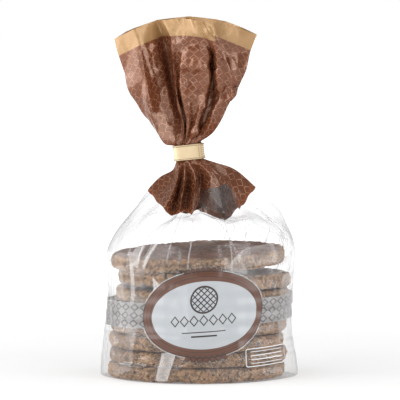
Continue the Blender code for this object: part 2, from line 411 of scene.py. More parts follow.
def film_inside():
    """The unprinted side of the printed film: the ink seen from behind, its greyish backing darkened to grey
    and violet as painted shade.
    """
    made, flow = new_material("film_inside")
    tone = noise(flow, 70.0, 3.0).step(0.3, 0.7)
    # Painted shade: the inside's own greyish tone is darkened to the grey-violet it shows in shadow.
    colour = flow.mix(tone, BACKING_IN_SHADE, tuple(c * 1.35 for c in BACKING_IN_SHADE))
    sockets = {"Base Color": colour, "Roughness": 0.30 + 0.1 * tone, "Metallic": 0.1}
    return finish_material(made, flow, flow.node("ShaderNodeBsdfPrincipled", None, sockets))


def label_masks(flow, across, up):
    """The masks of the oval label: inside it, its pale middle, and its dark drawing."""
    tilt = math.radians(3.6)
    x = (across - LABEL_X) * math.cos(tilt) + (up - LABEL_Z) * math.sin(tilt)
    z = (up - LABEL_Z) * math.cos(tilt) - (across - LABEL_X) * math.sin(tilt)

    def oval(half_width, half_height):
        """How far out a point lies: 1 on the oval, in millimetres of its shorter side when scaled."""
        return ((x / half_width) ** 2 + (z / half_height) ** 2) ** 0.5

    ring = (oval(35.8, 24.1) - 1) * 24.1
    middle = (((x - 0.7) / 30.6) ** 2 + ((z + 0.4) / 18.7) ** 2) ** 0.5 * 18.7 - 18.7
    angle = flow.math("ARCTAN2", z / 24.1, x / 35.8)
    top = (angle - math.pi / 2).absolute()
    foot = (angle + math.pi / 2).absolute()

    def beads(off, reach, count, lift, radius):
        """A short row of round beads that sits on the oval, reach radians to each side."""
        pitch = 2 * reach / count
        along = (off + pitch / 2).wrapped(pitch) * 35.2
        away = ((along ** 2) + (ring - lift) ** 2) ** 0.5
        return away - radius + off.step(reach - 0.01, reach + 0.01) * 50

    top_beads = beads(top, 0.31, 8, 0.5, 1.35)
    foot_beads = beads(foot, 0.33, 7, 0.6, 1.7)
    shape = ring.minimum(top_beads).minimum(foot_beads)
    inside = 1 - shape.step(-0.12, 0.12)
    pale = 1 - middle.step(-0.12, 0.12)
    lines = ring.band(-0.25, 0.2, 0.12)
    lines = lines.maximum(ring.band(-1.7, 0.14, 0.12) * 0.5).maximum(ring.band(-3.2, 0.18, 0.12) * 0.8)
    for bead in (top_beads, foot_beads):
        lines = lines.maximum(bead.band(-0.22, 0.22, 0.12))
    lines = lines * (1 - pale)
    lines = lines.maximum(waffle_badge(x, z) * pale)
    edge = ring.band(0.3, 0.16, 0.12)
    return inside, pale, lines.clamped(), edge


def waffle_badge(x, z):
    """A plain drawing on the label: a round waffle with its lattice over a row of diamonds and two rules."""
    away = ((x ** 2) + (z - 8.2) ** 2) ** 0.5
    disc = 1 - away.step(6.6, 6.8)
    turned_a = (x + z - 8.2) * 0.7071
    turned_b = (x - z + 8.2) * 0.7071
    lattice = (turned_a + 1.2).wrapped(2.4).band(0.0, 0.3, 0.1)
    lattice = lattice.maximum((turned_b + 1.2).wrapped(2.4).band(0.0, 0.3, 0.1))
    drawing = (lattice * disc).maximum(away.band(7.2, 0.5, 0.12))
    large = diamonds(x + 2.65, z + 3.2 + 3.5, 5.3, 7.0, 2.2, 2.7, 0.17)
    row = (1 - x.absolute().step(18.4, 18.5)) * (1 - (z + 3.2).absolute().step(3.3, 3.4))
    drawing = drawing.maximum(large * row)
    rule = (z + 9.6).band(0.0, 0.28, 0.1) * (1 - x.absolute().step(12.0, 12.2))
    rule = rule.maximum((z + 11.9).band(0.0, 0.45, 0.1) * (1 - x.absolute().step(7.0, 7.2)))
    return drawing.maximum(rule)


def clear_film():
    """Clear film with its printed label, diamond band and small panel, its faint haze, and painted glare and
    painted crease lines.
    """
    made, flow = new_material("clear_film")
    across, up = film_place(flow)
    inside, pale, lines, edge = label_masks(flow, across, up)
    # The pale band that runs round the bag behind the label, and its rows of diamonds.
    rise = up - 38.2 - 1.9 * flow.math("SINE", across / WRAP_RADIUS)
    band = rise.band(0.0, 6.9, 0.15)
    rows = diamonds(across, rise + 6.6, 7.2, 4.4, 2.8, 1.8, 0.16) * (1 - rise.absolute().step(6.4, 6.6))
    # A small outlined panel with plain rules, low on the right.
    px = (across - PANEL_X) * math.cos(PANEL_TILT) + (up - PANEL_Z) * math.sin(PANEL_TILT)
    pz = (up - PANEL_Z) * math.cos(PANEL_TILT) - (across - PANEL_X) * math.sin(PANEL_TILT)
    box = (px.absolute() - 15.0).maximum(0.0) ** 2 + (pz.absolute() - 3.7).maximum(0.0) ** 2
    frame_line = (box ** 0.5).band(1.2, 0.2, 0.12)
    rules = pz.wrapped(2.2).band(0.0, 0.28, 0.12) * (1 - px.absolute().step(12.6, 12.9))
    rules = rules * (1 - pz.absolute().step(3.4, 3.5)) * 0.55
    white_print = (frame_line * 0.85).maximum(rules).maximum(edge * (1 - inside) * 0.3)
    # Haze: painted glare on flat facets of the film, painted shade and reflection along creases, and the
    # film's own faint bloom.
    painted_glare = measure(flow, "painted_glare").step(-0.25, 0.25) * measure(flow, "painted_glare_strength")
    crease = measure(flow, "crease")
    fine = 1 - crease.step(0.12, 0.55)
    cloud = noise(flow, 55.0, 2.0).step(0.45, 0.75)
    # Painted glare is strongest near the edges of each patch.
    glare_edge = 0.45 + 0.55 * (1 - measure(flow, "painted_glare").step(0.0, 5.0))
    painted_glare = painted_glare * glare_edge * (0.75 + 0.5 * cloud)
    # The milky share: the film's faint bloom, painted glare, and painted reflection along creases.
    haze_and_glare = (0.01 + 0.02 * cloud + painted_glare + 0.30 * fine * measure(flow, "crease_strength")).clamped()
    thin = flow.node("ShaderNodeBsdfTransparent", None, {"Color": (0.985, 0.985, 0.986, 1.0)})
    dense = flow.node("ShaderNodeBsdfTransparent", None, {"Color": (0.66, 0.66, 0.68, 1.0)})
    facing = flow.node("ShaderNodeLayerWeight", None, {"Blend": 0.5}, out=1)
    # Denser film at grazing angles, and painted shade: darker along the creases.
    body = flow.blend((facing ** 6.0 * 0.7).maximum(fine * 0.35), thin, dense)
    gloss = flow.node("ShaderNodeBsdfAnisotropic", None, {"Color": (1.0, 1.0, 1.0, 1.0), "Roughness": 0.20})
    body = flow.blend((0.025 + 0.35 * facing ** 4.0).clamped(), body, gloss)
    glare_milk_sockets = {"Base Color": (0.80, 0.78, 0.77, 1.0), "Roughness": 0.32}
    glare_milk = flow.node("ShaderNodeBsdfPrincipled", None, glare_milk_sockets)
    body = flow.blend(haze_and_glare, body, glare_milk)
    colour = flow.mix(band, (0.85, 0.85, 0.85), BAND_GREY)
    colour = flow.mix(rows, colour, INK)
    colour = flow.mix(inside, colour, FRAME_BROWN)
    colour = flow.mix(pale, colour, LABEL_WHITE)
    colour = flow.mix(lines, colour, INK)
    cover = (band * 0.66).maximum(rows * band).maximum(white_print).maximum(inside)
    sockets = {"Base Color": colour, "Roughness": 0.24, "Specular IOR Level": 0.6}
    print_shader = flow.node("ShaderNodeBsdfPrincipled", None, sockets)
    return finish_material(made, flow, flow.blend(cover, body, print_shader))


def clear_inside():
    """The inner side of the clear film, which adds almost nothing to what the outer side shows."""
    made, flow = new_material("clear_inside")
    clear = flow.node("ShaderNodeBsdfTransparent", None, {"Color": (0.99, 0.99, 0.99, 1.0)})
    gloss = flow.node("ShaderNodeBsdfAnisotropic", None, {"Color": (1.0, 1.0, 1.0, 1.0), "Roughness": 0.12})
    return finish_material(made, flow, flow.blend(0.01, clear, gloss))


def waffle_crumb():
    """Baked spice dough: crumbly tan at the rim, darker and pressed with a lattice on the faces."""
    made, flow = new_material("waffle")
    rim = measure(flow, "rim")
    groove = measure(flow, "groove")
    shaded_pit = measure(flow, "shaded_pit")
    blotch = noise(flow, 90.0, 3.0).step(0.3, 0.7)
    speck = noise(flow, 850.0, 1.0, 0.6)
    coarse = noise(flow, 600.0, 1.0, 0.6)
    face = flow.mix(blotch, tuple(c * 0.6 for c in WAFFLE_FACE), tuple(c * 1.2 for c in WAFFLE_FACE))
    face = flow.mix(groove * 0.75, face, SCORCH_AND_PIT_SHADE)
    edge = flow.mix(blotch, tuple(c * 0.55 for c in WAFFLE_RIM), tuple(c * 1.1 for c in WAFFLE_RIM))
    colour = flow.mix(rim, face, edge)
    colour = flow.mix(speck.step(0.50, 0.64) * (0.14 + 0.5 * rim), colour, CRUMB_PALE)
    colour = flow.mix(coarse.step(0.53, 0.64) * (0.35 + 0.4 * rim), colour, SCORCH_AND_PIT_SHADE)
    # Painted shade darkens the pits of the rim and the seam between the wafers.
    colour = flow.mix(shaded_pit * 0.75, colour, SCORCH_AND_PIT_SHADE)
    sockets = {"Strength": 0.7, "Distance": 0.0005, "Height": speck}
    bump = flow.node("ShaderNodeBump", None, sockets)
    sockets = {"Base Color": colour, "Roughness": 0.78 - 0.15 * blotch, "Specular IOR Level": 0.3,
               "Subsurface Weight": 0.05, "Subsurface Scale": 0.0015, "Normal": bump}
    return finish_material(made, flow, flow.node("ShaderNodeBsdfPrincipled", None, sockets))


def sticky_syrup():
    made, flow = new_material("syrup")
    tone = noise(flow, 300.0, 2.0).step(0.3, 0.7)
    colour = flow.mix(tone, SYRUP, tuple(c * 2.2 for c in SYRUP))
    sockets = {"Base Color": colour, "Roughness": 0.22 + 0.2 * tone, "Specular IOR Level": 0.5}
    return finish_material(made, flow, flow.node("ShaderNodeBsdfPrincipled", None, sockets))


def gold_strip():
    """Satin pale gold, brushed along the strip, with a pressed line along each edge and a crimped end, the
    pressed marks darkened with painted shade.
    """
    made, flow = new_material("gold_strip")
    place = flow.node("ShaderNodeSeparateXYZ", None, {0: flow.node("ShaderNodeTexCoord", out=3)})
    x = (place - TIE_CENTRE[0] * MM) / MM
    z = (Flow(flow.tree, place.socket.node.outputs[2]) - TIE_CENTRE[2] * MM) / MM
    across = x * math.cos(TIE_TILT) + z * math.sin(TIE_TILT)
    height = z * math.cos(TIE_TILT) - x * math.sin(TIE_TILT)
    pressed_line = height.absolute().band(TIE_HALF_HEIGHT - 0.75, 0.13, 0.1)
    crimped = across.step(TIE_RIGHT_END - 3.1, TIE_RIGHT_END - 2.9)
    ticks = height.wrapped(1.15).band(0.0, 0.22, 0.12) * across.step(TIE_RIGHT_END - 1.9, TIE_RIGHT_END - 1.8)
    seam = across.band(TIE_RIGHT_END - 3.0, 0.14, 0.1)
    shaded_marks = pressed_line.maximum(ticks).maximum(seam)
    brushed = noise(flow, 500.0, 2.0, 0.6, stretch=(0.2, 0.2, 2.2))
    cloud = noise(flow, 120.0, 2.0).step(0.3, 0.7)
    colour = flow.mix(cloud, PALE_GOLD, tuple(c * 1.08 for c in PALE_GOLD))
    colour = flow.mix(crimped * 0.45, colour, GOLD)
    # Painted shade in the pressed lines and the crimp's ticks, and a dark seam.
    colour = flow.mix(shaded_marks * 0.7, colour, tuple(c * 0.3 for c in GOLD))
    sockets = {"Strength": 0.25, "Distance": 0.0003, "Height": brushed * 0.4 - shaded_marks * 1.0}
    bump = flow.node("ShaderNodeBump", None, sockets)
    sockets = {"Base Color": colour, "Roughness": 0.34 + 0.1 * brushed, "Metallic": 0.25,
               "Coat Weight": 0.2, "Coat Roughness": 0.2, "Normal": bump}
    return finish_material(made, flow, flow.node("ShaderNodeBsdfPrincipled", None, sockets))


# ---- mesh helpers ----------------------------------------------------------------------------------


def select_only(piece):
    for other in bpy.context.view_layer.objects:
        other.select_set(False)
    piece.select_set(True)
    bpy.context.view_layer.objects.active = piece


def apply_modifier(piece, kind, **settings):
    select_only(piece)
    modifier = piece.modifiers.new(kind.lower(), kind)
    for name, value in settings.items():
        setattr(modifier, name, value)
    bpy.ops.object.modifier_apply(modifier=modifier.name)


def points_of(piece):
    flat = np.zeros(len(piece.data.vertices) * 3, np.float32)
    piece.data.vertices.foreach_get("co", flat)
    return flat.reshape(-1, 3).astype(float)


def move_points(piece, points):
    piece.data.vertices.foreach_set("co", points.astype(np.float32).ravel())
    piece.data.update()


def carry(piece, name, values):
    """Stores one number for each vertex under a name that a material reads."""
    attribute = piece.data.attributes.new(name, "FLOAT", "POINT")
    attribute.data.foreach_set("value", values.astype(np.float32).ravel())


def smooth_from_angle(piece, degrees):
    select_only(piece)
    bpy.ops.object.shade_smooth_by_angle(angle=math.radians(degrees))


def put(piece, slot, *looks):
    """A finished piece's materials and body; the slot argument is not used."""
    piece.data.materials.clear()
    for look in looks:
        piece.data.materials.append(look)
    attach(piece, "root")
    return piece


def value_noise(points, size, seed):
    """Smooth noise between -1 and 1 whose lumps are about size across."""
    scaled = points / size
    cell = np.floor(scaled).astype(np.int64)
    part = scaled - cell
    part = part * part * (3 - 2 * part)
    total = np.zeros(len(points))
    for corner in range(8):
        offset = np.array([corner & 1, corner >> 1 & 1, corner >> 2 & 1])
        key = (cell + offset) @ np.array([73856093, 19349663, 83492791]) + seed * 2654435761
        key = (key ^ (key >> 13)) * 1274126177 & 0xFFFFFFFF
        key = (key ^ (key >> 16)) & 0xFFFF
        weight = np.prod(np.where(offset, part, 1 - part), axis=1)
        total += weight * (key / 32767.5 - 1)
    return total


# ---- film ------------------------------------------------------------------------------------------


def eased(share):
    share = np.clip(share, 0, 1)
    return share * share * (3 - 2 * share)


def between_rays(rays, places, at):
    """Values at each column between the values of the folds on its two sides, all the way round."""
    order = np.concatenate([places, [places[0] + 1]])
    at = (at - places[0]) % 1 + places[0]
    low = np.clip(np.searchsorted(order, at, side="right") - 1, 0, len(places) - 1)
    share = ((at - order[low]) / (order[low + 1] - order[low]))
    high = (low + 1) % len(places)
    shape = (-1,) + (1,) * (rays.ndim - 1)
    share = share.reshape(shape)
    return rays[low] * (1 - share) + rays[high] * share


def curve_through(stations, knots, at):
    """Points on one smooth curve for each column. stations is (column, knot, 3), at is (column, row)."""
    knots = np.asarray(knots, float)
    slopes = np.gradient(stations, knots, axis=1)
    low = np.clip(np.searchsorted(knots, at, side="right") - 1, 0, len(knots) - 2)
    span = (knots[low + 1] - knots[low])[..., None]
    t = ((at - knots[low])[..., None]) / span
    column = np.arange(len(stations))[:, None]
    p0, p1 = stations[column, low], stations[column, low + 1]
    m0, m1 = slopes[column, low] * span, slopes[column, low + 1] * span
    return ((2 * t ** 3 - 3 * t ** 2 + 1) * p0 + (t ** 3 - 2 * t ** 2 + t) * m0
            + (3 * t ** 2 - 2 * t ** 3) * p1 + (t ** 3 - t ** 2) * m1)


def softened(grid, passes):
    """Creases rounded a little, by averaging each column with its neighbours."""
    for _ in range(passes):
        grid = (np.roll(grid, 1, axis=0) + 2 * grid + np.roll(grid, -1, axis=0)) / 4
    return grid


def grid_normals(grid):
    """Outward normals of a grid of points, columns round the bag and rows along it."""
    round_bag = np.roll(grid, -1, axis=0) - np.roll(grid, 1, axis=0)
    along = np.gradient(grid, axis=1)
    normals = np.cross(round_bag, along)
    length = np.linalg.norm(normals, axis=2, keepdims=True)
    return normals / np.maximum(length, 1e-9)


def crumple(across, along, turn, waves, seed):
    """Flat facets with straight creases: triangle waves in several directions, each strong in places.
    waves lists (waves in a turn, wavelength along the film, height); turn is the length once round."""
    random = np.random.default_rng(seed)
    total = np.zeros(np.broadcast(across, along).shape)
    for count, length, height in waves:
        phase, drift = random.uniform(0, 1, 2)
        ramp = across / turn * count + (along / length if length else 0.0) + phase
        wave = 4 * np.abs(ramp - np.floor(ramp + 0.5)) - 1
        window = 0.5 + 0.5 * np.sin(2 * np.pi * (across / turn * random.integers(2, 6) + along / 60 + drift))
        total = total + height * wave * window
    return total


def along_outline(level):
    table = np.array(BODY_OUTLINE)
    return [np.interp(level, table[:, 0], table[:, i]) for i in (1, 2, 3)]


def body_ring(angle, level, draw_in=0.0):
    """Points of the film round the stack, for arrays of directions and levels."""
    left, right, depth = along_outline(level)
    centre, half = (left + right) / 2, (right - left) / 2 - draw_in
    corner = CORNER_REACH * (1 - eased(level / CORNER_HEIGHT)) * np.abs(np.cos(angle)) ** CORNER_SHARPNESS
    x = centre + (half + corner) * np.cos(angle)
    y = (depth - draw_in) * np.sin(angle)
    return np.stack(np.broadcast_arrays(x, y, level), axis=-1)


def neck_ring(column, height):
    """The bunched film inside the tie, height above its middle, square to it."""
    angle = np.pi + 2 * np.pi * column
    pleat = 1 + 0.05 * np.cos(2 * np.pi * NECK_PLEATS * column)
    across = NECK_HALF_WIDTH * np.cos(angle) * pleat
    x = TIE_CENTRE[0] + across * math.cos(TIE_TILT) - height * math.sin(TIE_TILT)
    z = TIE_CENTRE[2] + across * math.sin(TIE_TILT) + height * math.cos(TIE_TILT)
    return np.stack([x, NECK_HALF_DEPTH * np.sin(angle) * pleat, z], axis=-1)


def skirt_places():
    return np.array([(fold[0] - 180) / 360 for fold in SKIRT_FOLDS])


def skirt_stations(column):
    """Stations from the tie down to the top of the stack, for each column."""
    places = skirt_places()
    folds = np.array([fold[1:4] for fold in SKIRT_FOLDS], float)
    bulge = between_rays(np.array([fold[4] for fold in SKIRT_FOLDS], float), places, column)
    fold_points = softened(between_rays(folds, places, column), 1)
    angle = np.pi + 2 * np.pi * column
    shoulder = body_ring(angle, np.full(len(column), SHOULDER_LEVEL))
    shoulder[:, :2] *= (SHOULDER_SHARE + SHOULDER_LEAN * np.cos(angle))[:, None]
    top = body_ring(angle, np.full(len(column), BODY_TOP))
    below = body_ring(angle, np.full(len(column), BODY_TOP - 8))
    outward = np.stack([np.cos(angle), np.sin(angle), np.ones(len(column))], axis=-1)
    middle = fold_points[:, 2] * 0.5 + shoulder * 0.5 + outward * bulge[:, None]
    exits = neck_ring(column, np.full(len(column), -TIE_HALF_HEIGHT - 0.2))
    return np.stack([exits, *(fold_points[:, i] for i in range(3)), middle, shoulder, top, below], axis=1)


SKIRT_KNOTS = (0, 1, 2, 3, 4.2, 5.2, 6.1, 7.0)


def print_end(column):
    """The station at which the print ends in each column: early where the window is."""
    places = np.append(skirt_places(), 1.0)
    fold = np.interp(column, places, np.arange(len(places)))
    start, end = WINDOW_FOLDS
    inside = eased((fold - start) / 0.12) * eased((end - fold) / 0.25)
    lean = WINDOW_TOP - 0.30 * np.clip((fold - start) / (end - start), 0, 1)
    wander = 0.03 * np.sin(2 * np.pi * 17 * column)
    return (3 + wander) * (1 - inside) + lean * inside


def flare_stations(column):
    """Stations from the tie up to the rim, and the places of the folds round the flare."""
    folds = np.array(FLARE_FOLDS, float)
    length = np.array(FLARE_LENGTHS)
    off = folds - (TIE_CENTRE[0], 0)
    sideways = off[..., 0] ** 2 + (LEAN_WEIGHT * off[..., 1]) ** 2
    rise = np.sqrt(length ** 2 - np.minimum(sideways, 0.9 * length ** 2))
    points = np.concatenate([folds, (TIE_CENTRE[2] + rise)[..., None]], axis=2)
    gaps = np.linalg.norm(np.roll(points, -1, axis=0) - points, axis=2).max(axis=1)
    places = np.concatenate([[0.0], np.cumsum(gaps)[:-1]]) / gaps.sum()
    stations = softened(between_rays(points, places, column), 1)
    start = neck_ring(column, np.full(len(column), TIE_HALF_HEIGHT + 0.2))
    return np.concatenate([start[:, None], stations], axis=1), places


def panel_mapping(grid, column, places, valleys, carriers):
    """For each panel between two valleys, where the print lies: lengths round the film, measured from
    the fold that carries the print. Returns the panel of each column gap and the length of each point."""
    steps = np.linalg.norm(np.roll(grid, -1, axis=0) - grid, axis=2)
    length = np.concatenate([np.zeros((1, grid.shape[1])), np.cumsum(steps, axis=0)])
    ends = [places[v] for v in valleys]
    middle = (column + 0.5 / len(column)) % 1
    panel = np.searchsorted(ends, middle, side="right") - 1
    panel = np.where(panel < 0, len(ends) - 1, panel)
    mapped = []
    for carrier in carriers:
        at = places[carrier % len(places)] * len(column)
        low = int(at) % len(column)
        here = length[low] + (length[low + 1] - length[low]) * (at - int(at))
        mapped.append(length - here + here[-1])
    return panel, mapped


def film_mesh(name, grid, mapping, along):
    """A tube of film from a grid of points in millimetres, with its own coordinates as a UV map."""
    columns, rows = grid.shape[:2]
    index = np.arange(columns * rows).reshape(columns, rows)
    here, after = index, np.roll(index, -1, axis=0)
    faces = np.stack([here[:, :-1], after[:, :-1], after[:, 1:], here[:, 1:]], axis=-1)
    mesh = bpy.data.meshes.new(name)
    mesh.from_pydata(grid.reshape(-1, 3) * MM, [], faces.reshape(-1, 4).tolist())
    panel, lengths = mapping
    lengths = np.array(lengths)
    column = np.arange(columns)
    low = lengths[panel, column]
    high = lengths[panel, column + 1]
    across = np.stack([low[:, :-1], high[:, :-1], high[:, 1:], low[:, 1:]], axis=-1)
    up = np.broadcast_to(along, (columns, rows))
    next_up = np.roll(up, -1, axis=0)
    rise = np.stack([up[:, :-1], next_up[:, :-1], next_up[:, 1:], up[:, 1:]], axis=-1)
    layer = mesh.uv_layers.new(name="film")
    layer.data.foreach_set("uv", np.stack([across, rise], axis=-1).astype(np.float32).ravel())
    piece = bpy.data.objects.new(name, mesh)
    bpy.context.scene.collection.objects.link(piece)
    return piece


def thickened(piece):
    """The film's wall, inwards from its outer skin, with the second material on its inner side."""
    apply_modifier(piece, "SOLIDIFY", thickness=FILM_THICKNESS * MM, offset=-1.0, material_offset=1)
    smooth_from_angle(piece, 50)
    return piece


def joined_mapping(upper, lower, split):
    """One mapping for a grid whose rows before split take the first mapping and the rest the second."""
    (panel_a, lengths_a), (panel_b, lengths_b) = upper, lower
    pairs = sorted(set(zip(panel_a.tolist(), panel_b.tolist())))
    panel = np.array([pairs.index(pair) for pair in zip(panel_a.tolist(), panel_b.tolist())])
    lengths = [np.concatenate([lengths_a[a][:, :split], lengths_b[b][:, split:]], axis=1) for a, b in pairs]
    return panel, lengths


def pressed(grid, creases):
    """Presses straight creases with flat sides into the front of a grid of film."""
    flat = grid[..., [0, 2]]
    rise = np.zeros(flat.shape[:2])
    for height, half_width, corners in creases:
        corners = np.array(corners, float)
        away = np.full(rise.shape, 99.0)
        for start, end in zip(corners[:-1], corners[1:]):
            line = end - start
            share = np.clip(((flat - start) @ line) / (line @ line), 0, 1)
            away = np.minimum(away, np.linalg.norm(flat - start - share[..., None] * line, axis=-1))
        rise += height * np.clip(1 - away / half_width, 0, 1)
    return grid - grid_normals(grid) * rise[..., None]


def printed_sleeve(column, skirt):
    """The printed film: the open flare, the neck inside the tie, and the skirt down to the print's end."""
    stations, places = flare_stations(column)
    knots = (NECK_LENGTH, *FLARE_LENGTHS)
    rows_up = np.linspace(0, 1, 84) ** 1.05
    lengths = NECK_LENGTH + (FLARE_LENGTHS[-1] - NECK_LENGTH) * rows_up[::-1]
    flare = curve_through(stations, knots, np.broadcast_to(lengths, (len(column), len(lengths))))
    turn = 340.0
    round_film = (column * turn)[:, None]
    waves = ((9, 31, 0.45), (-13, 23, 0.35), (21, 40, 0.22), (-28, 17, 0.14), (6, -19, 0.3), (37, 55, 0.10))
    height = crumple(round_film, lengths[None, :], turn, waves, SEED)
    pleats = crumple(round_film, lengths[None, :], turn, ((NECK_PLEATS, 0, 1.0), (37, 0, 0.6)), SEED + 1)
    height = height * eased((lengths - 6) / 20) + 0.55 * pleats * np.exp(-(lengths - 4) / 9.0)
    flare = flare + grid_normals(flare) * height[..., None]
    front = (column < places[13]) | (column > places[20])
    flare[front] = pressed(flare, FLARE_CREASES)[front]
    neck_heights = np.linspace(TIE_HALF_HEIGHT, -TIE_HALF_HEIGHT, 7)
    neck = np.stack([neck_ring(column, np.full(len(column), h)) for h in neck_heights], axis=1)
    end = print_end(column)
    share = np.linspace(0, 1, 38)[1:]
    at = 0.06 + (end[:, None] - 0.06) * share[None, :]
    lower = curve_through(skirt, SKIRT_KNOTS, at) + skirt_relief(column, at, skirt)
    grid = np.concatenate([flare, neck, lower], axis=1)
    along = np.concatenate([np.broadcast_to(lengths, flare.shape[:2]),
                            np.broadcast_to(neck_heights, neck.shape[:2]), -4.5 - 10.0 * at], axis=1)
    split = flare.shape[1] + 3
    upper_map = panel_mapping(grid[:, :split], column, places, FLARE_VALLEYS, FLARE_CARRIERS)
    lower_map = panel_mapping(grid[:, split:], column, skirt_places(), SKIRT_VALLEYS,
                              [v + 1 for v in SKIRT_VALLEYS[:-1]] + [0])
    pad = np.zeros((len(column) + 1, grid.shape[1] - split))
    head = np.zeros((len(column) + 1, split))
    upper_map = (upper_map[0], [np.concatenate([m, pad], axis=1) for m in upper_map[1]])
    lower_map = (lower_map[0], [np.concatenate([head, m + SKIRT_PRINT_SHIFT], axis=1) for m in lower_map[1]])
    piece = film_mesh("printed_film", grid[:, ::-1], mirrored(joined_mapping(upper_map, lower_map, split)),
                      along[:, ::-1])
    return thickened(piece)


def mirrored(mapping):
    """The mapping of a grid whose rows are turned round."""
    panel, lengths = mapping
    return panel, [length[:, ::-1] for length in lengths]


def skirt_relief(column, at, skirt):
    """Fine creases of the film below the tie, which fade towards the tie's own pleats."""
    turn = ROUND_LENGTH
    round_film = (column * turn)[:, None]
    waves = ((7, 3.1, 0.30), (-11, 2.3, 0.28), (19, 5.0, 0.20), (-23, 4.1, 0.16), (31, 9.0, 0.10))
    height = crumple(round_film, at, turn, waves, SEED + 2)
    height = height * eased((at - 0.4) / 1.5) * (1 - eased((at - 5) / 1.2) * 0.6)
    pleats = crumple(round_film, at, turn, ((NECK_PLEATS, 0, 1.0), (37, 0, 0.6)), SEED + 1)
    height = height + 0.5 * pleats * np.exp(-at / 0.7)
    smooth = curve_through(skirt, SKIRT_KNOTS, at)
    return grid_normals(smooth) * -height[..., None]


def clear_of_waffles(grid):
    """Pushes the film out wherever a waffle would touch it."""
    for x, y, level, radius, _, _ in WAFFLES:
        near = np.abs(grid[..., 2] - level - WAFFLE_THICKNESS / 2) < WAFFLE_THICKNESS * 0.65
        off = grid[..., :2] - (x, y)
        away = np.linalg.norm(off, axis=-1)
        short = near & (away < radius + FILM_CLEARANCE) & (away > radius - 6)
        share = np.where(short, (radius + FILM_CLEARANCE) / np.maximum(away, 1e-6), 1.0)
        grid[..., :2] = (x, y) + off * share[..., None]
    return grid


def clear_sleeve(column, skirt):
    """The clear film from the print's end over the stack's shoulder, down its side and under its base."""
    angle = np.pi + 2 * np.pi * column
    start = print_end(column)
    share = np.linspace(0, 1, 46)
    at = start[:, None] + (SKIRT_KNOTS[6] - start[:, None]) * share[None, :]
    dome = curve_through(skirt, SKIRT_KNOTS, at) + skirt_relief(column, at, skirt)
    levels = np.linspace(BODY_TOP, 3.0, 64)[1:]
    body = body_ring(angle[:, None], levels[None, :])
    turn = ROUND_LENGTH
    round_film = (column * turn)[:, None]
    waves = ((5, 95, 0.35), (-8, 60, 0.40), (13, -80, 0.30), (-19, 70, 0.20), (24, 190, 0.18),
             (-31, -97, 0.12))
    height = crumple(round_film, levels[None, :], turn, waves, SEED + 3)
    scallop = 0.12 * np.cos(2 * np.pi * (levels / WAFFLE_THICKNESS - 0.5))
    blend_in = eased((BODY_TOP - levels) / 6)
    height = (height + scallop[None, :]) * blend_in
    normals = grid_normals(body)
    body = clear_of_waffles(body - normals * height[..., None])
    rounding = np.radians(np.array([15, 40, 65, 90]))
    edge = [body_ring(angle, BASE_LEVEL + BASE_ROUNDING * (1 - np.sin(r)) * np.ones(len(angle)),
                      draw_in=BASE_ROUNDING * (1 - np.cos(r))) for r in rounding]
    rim = edge[-1]
    floor = [rim * (s, s, 1) for s in (0.93, 0.8, 0.6, 0.4, 0.2, 0.05)]
    grid = np.concatenate([dome, body, np.stack(edge + floor, axis=1)], axis=1)
    dome_length = BODY_TOP + (SKIRT_KNOTS[6] - at) * STATION_LENGTH
    low_rows = len(edge) + len(floor)
    low = 1.0 - np.arange(low_rows) * 4.0
    along = np.concatenate([dome_length, np.broadcast_to(levels, body.shape[:2]),
                            np.broadcast_to(low, (len(column), low_rows))], axis=1)
    around = np.append(angle, 3 * np.pi) - 1.5 * np.pi
    mapped = np.broadcast_to((around * WRAP_RADIUS)[:, None], (len(column) + 1, grid.shape[1]))
    panel = np.zeros(len(column), int)
    piece = film_mesh("clear_film", grid[:, ::-1], (panel, [mapped]), along[:, ::-1])
    mark_film(piece, np.broadcast_to(mapped[:-1], grid.shape[:2])[:, ::-1], along[:, ::-1])
    close_base(piece)
    return thickened(piece)


def close_base(piece):
    """Fills the small round opening in the middle of the base."""
    select_only(piece)
    bpy.ops.object.mode_set(mode="EDIT")
    bpy.ops.mesh.select_mode(type="VERT")
    bpy.ops.mesh.select_all(action="DESELECT")
    bpy.ops.object.mode_set(mode="OBJECT")
    points = points_of(piece)
    middle = (np.hypot(points[:, 0], points[:, 1]) < 4 * MM) & (points[:, 2] < 2 * MM)
    piece.data.vertices.foreach_set("select", middle)
    bpy.ops.object.mode_set(mode="EDIT")
    bpy.ops.mesh.edge_face_add()
    bpy.ops.object.mode_set(mode="OBJECT")


# Painted glare: flat facets of the film painted milky as if they caught the light, as corners in film
# coordinates, and how milky each is.
PAINTED_GLARES = (
    (((-44.5, 72), (-41.5, 72), (-40.5, 43), (-43.5, 42)), 0.22),
    (((-36, 83), (-30, 86), (-38, 63), (-44, 66)), 0.20),
    (((-24, 86), (-21.5, 86), (-33, 62), (-34, 64)), 0.26),
    (((-28, 59), (-15, 46), (-26, 38)), 0.34),
    (((26, 76), (45, 78), (47, 66), (12, 63)), 0.10),
    (((12, 63), (24, 75), (26, 60)), 0.18),
    (((-20.5, 17), (-12, 18), (-18, 1), (-25, 1)), 0.38),
    (((-60, 36), (-36, 33), (-42, 6), (-58, 2)), 0.12),
    (((-66, 60), (-52, 64), (-50, 46), (-68, 40)), 0.10),
    (((52, 58), (66, 60), (62, 24), (54, 22)), 0.14),
    (((12, 70), (15, 69), (19, 46), (15, 50)), 0.10),
    (((-110, 66), (-88, 60), (-96, 22), (-104, 18)), 0.22),
    (((92, 70), (120, 58), (104, 34)), 0.22),
    (((-150, 50), (-134, 44), (-140, 8), (-148, 6)), 0.24),
    (((126, 40), (148, 30), (138, 4), (128, 6)), 0.26),
)
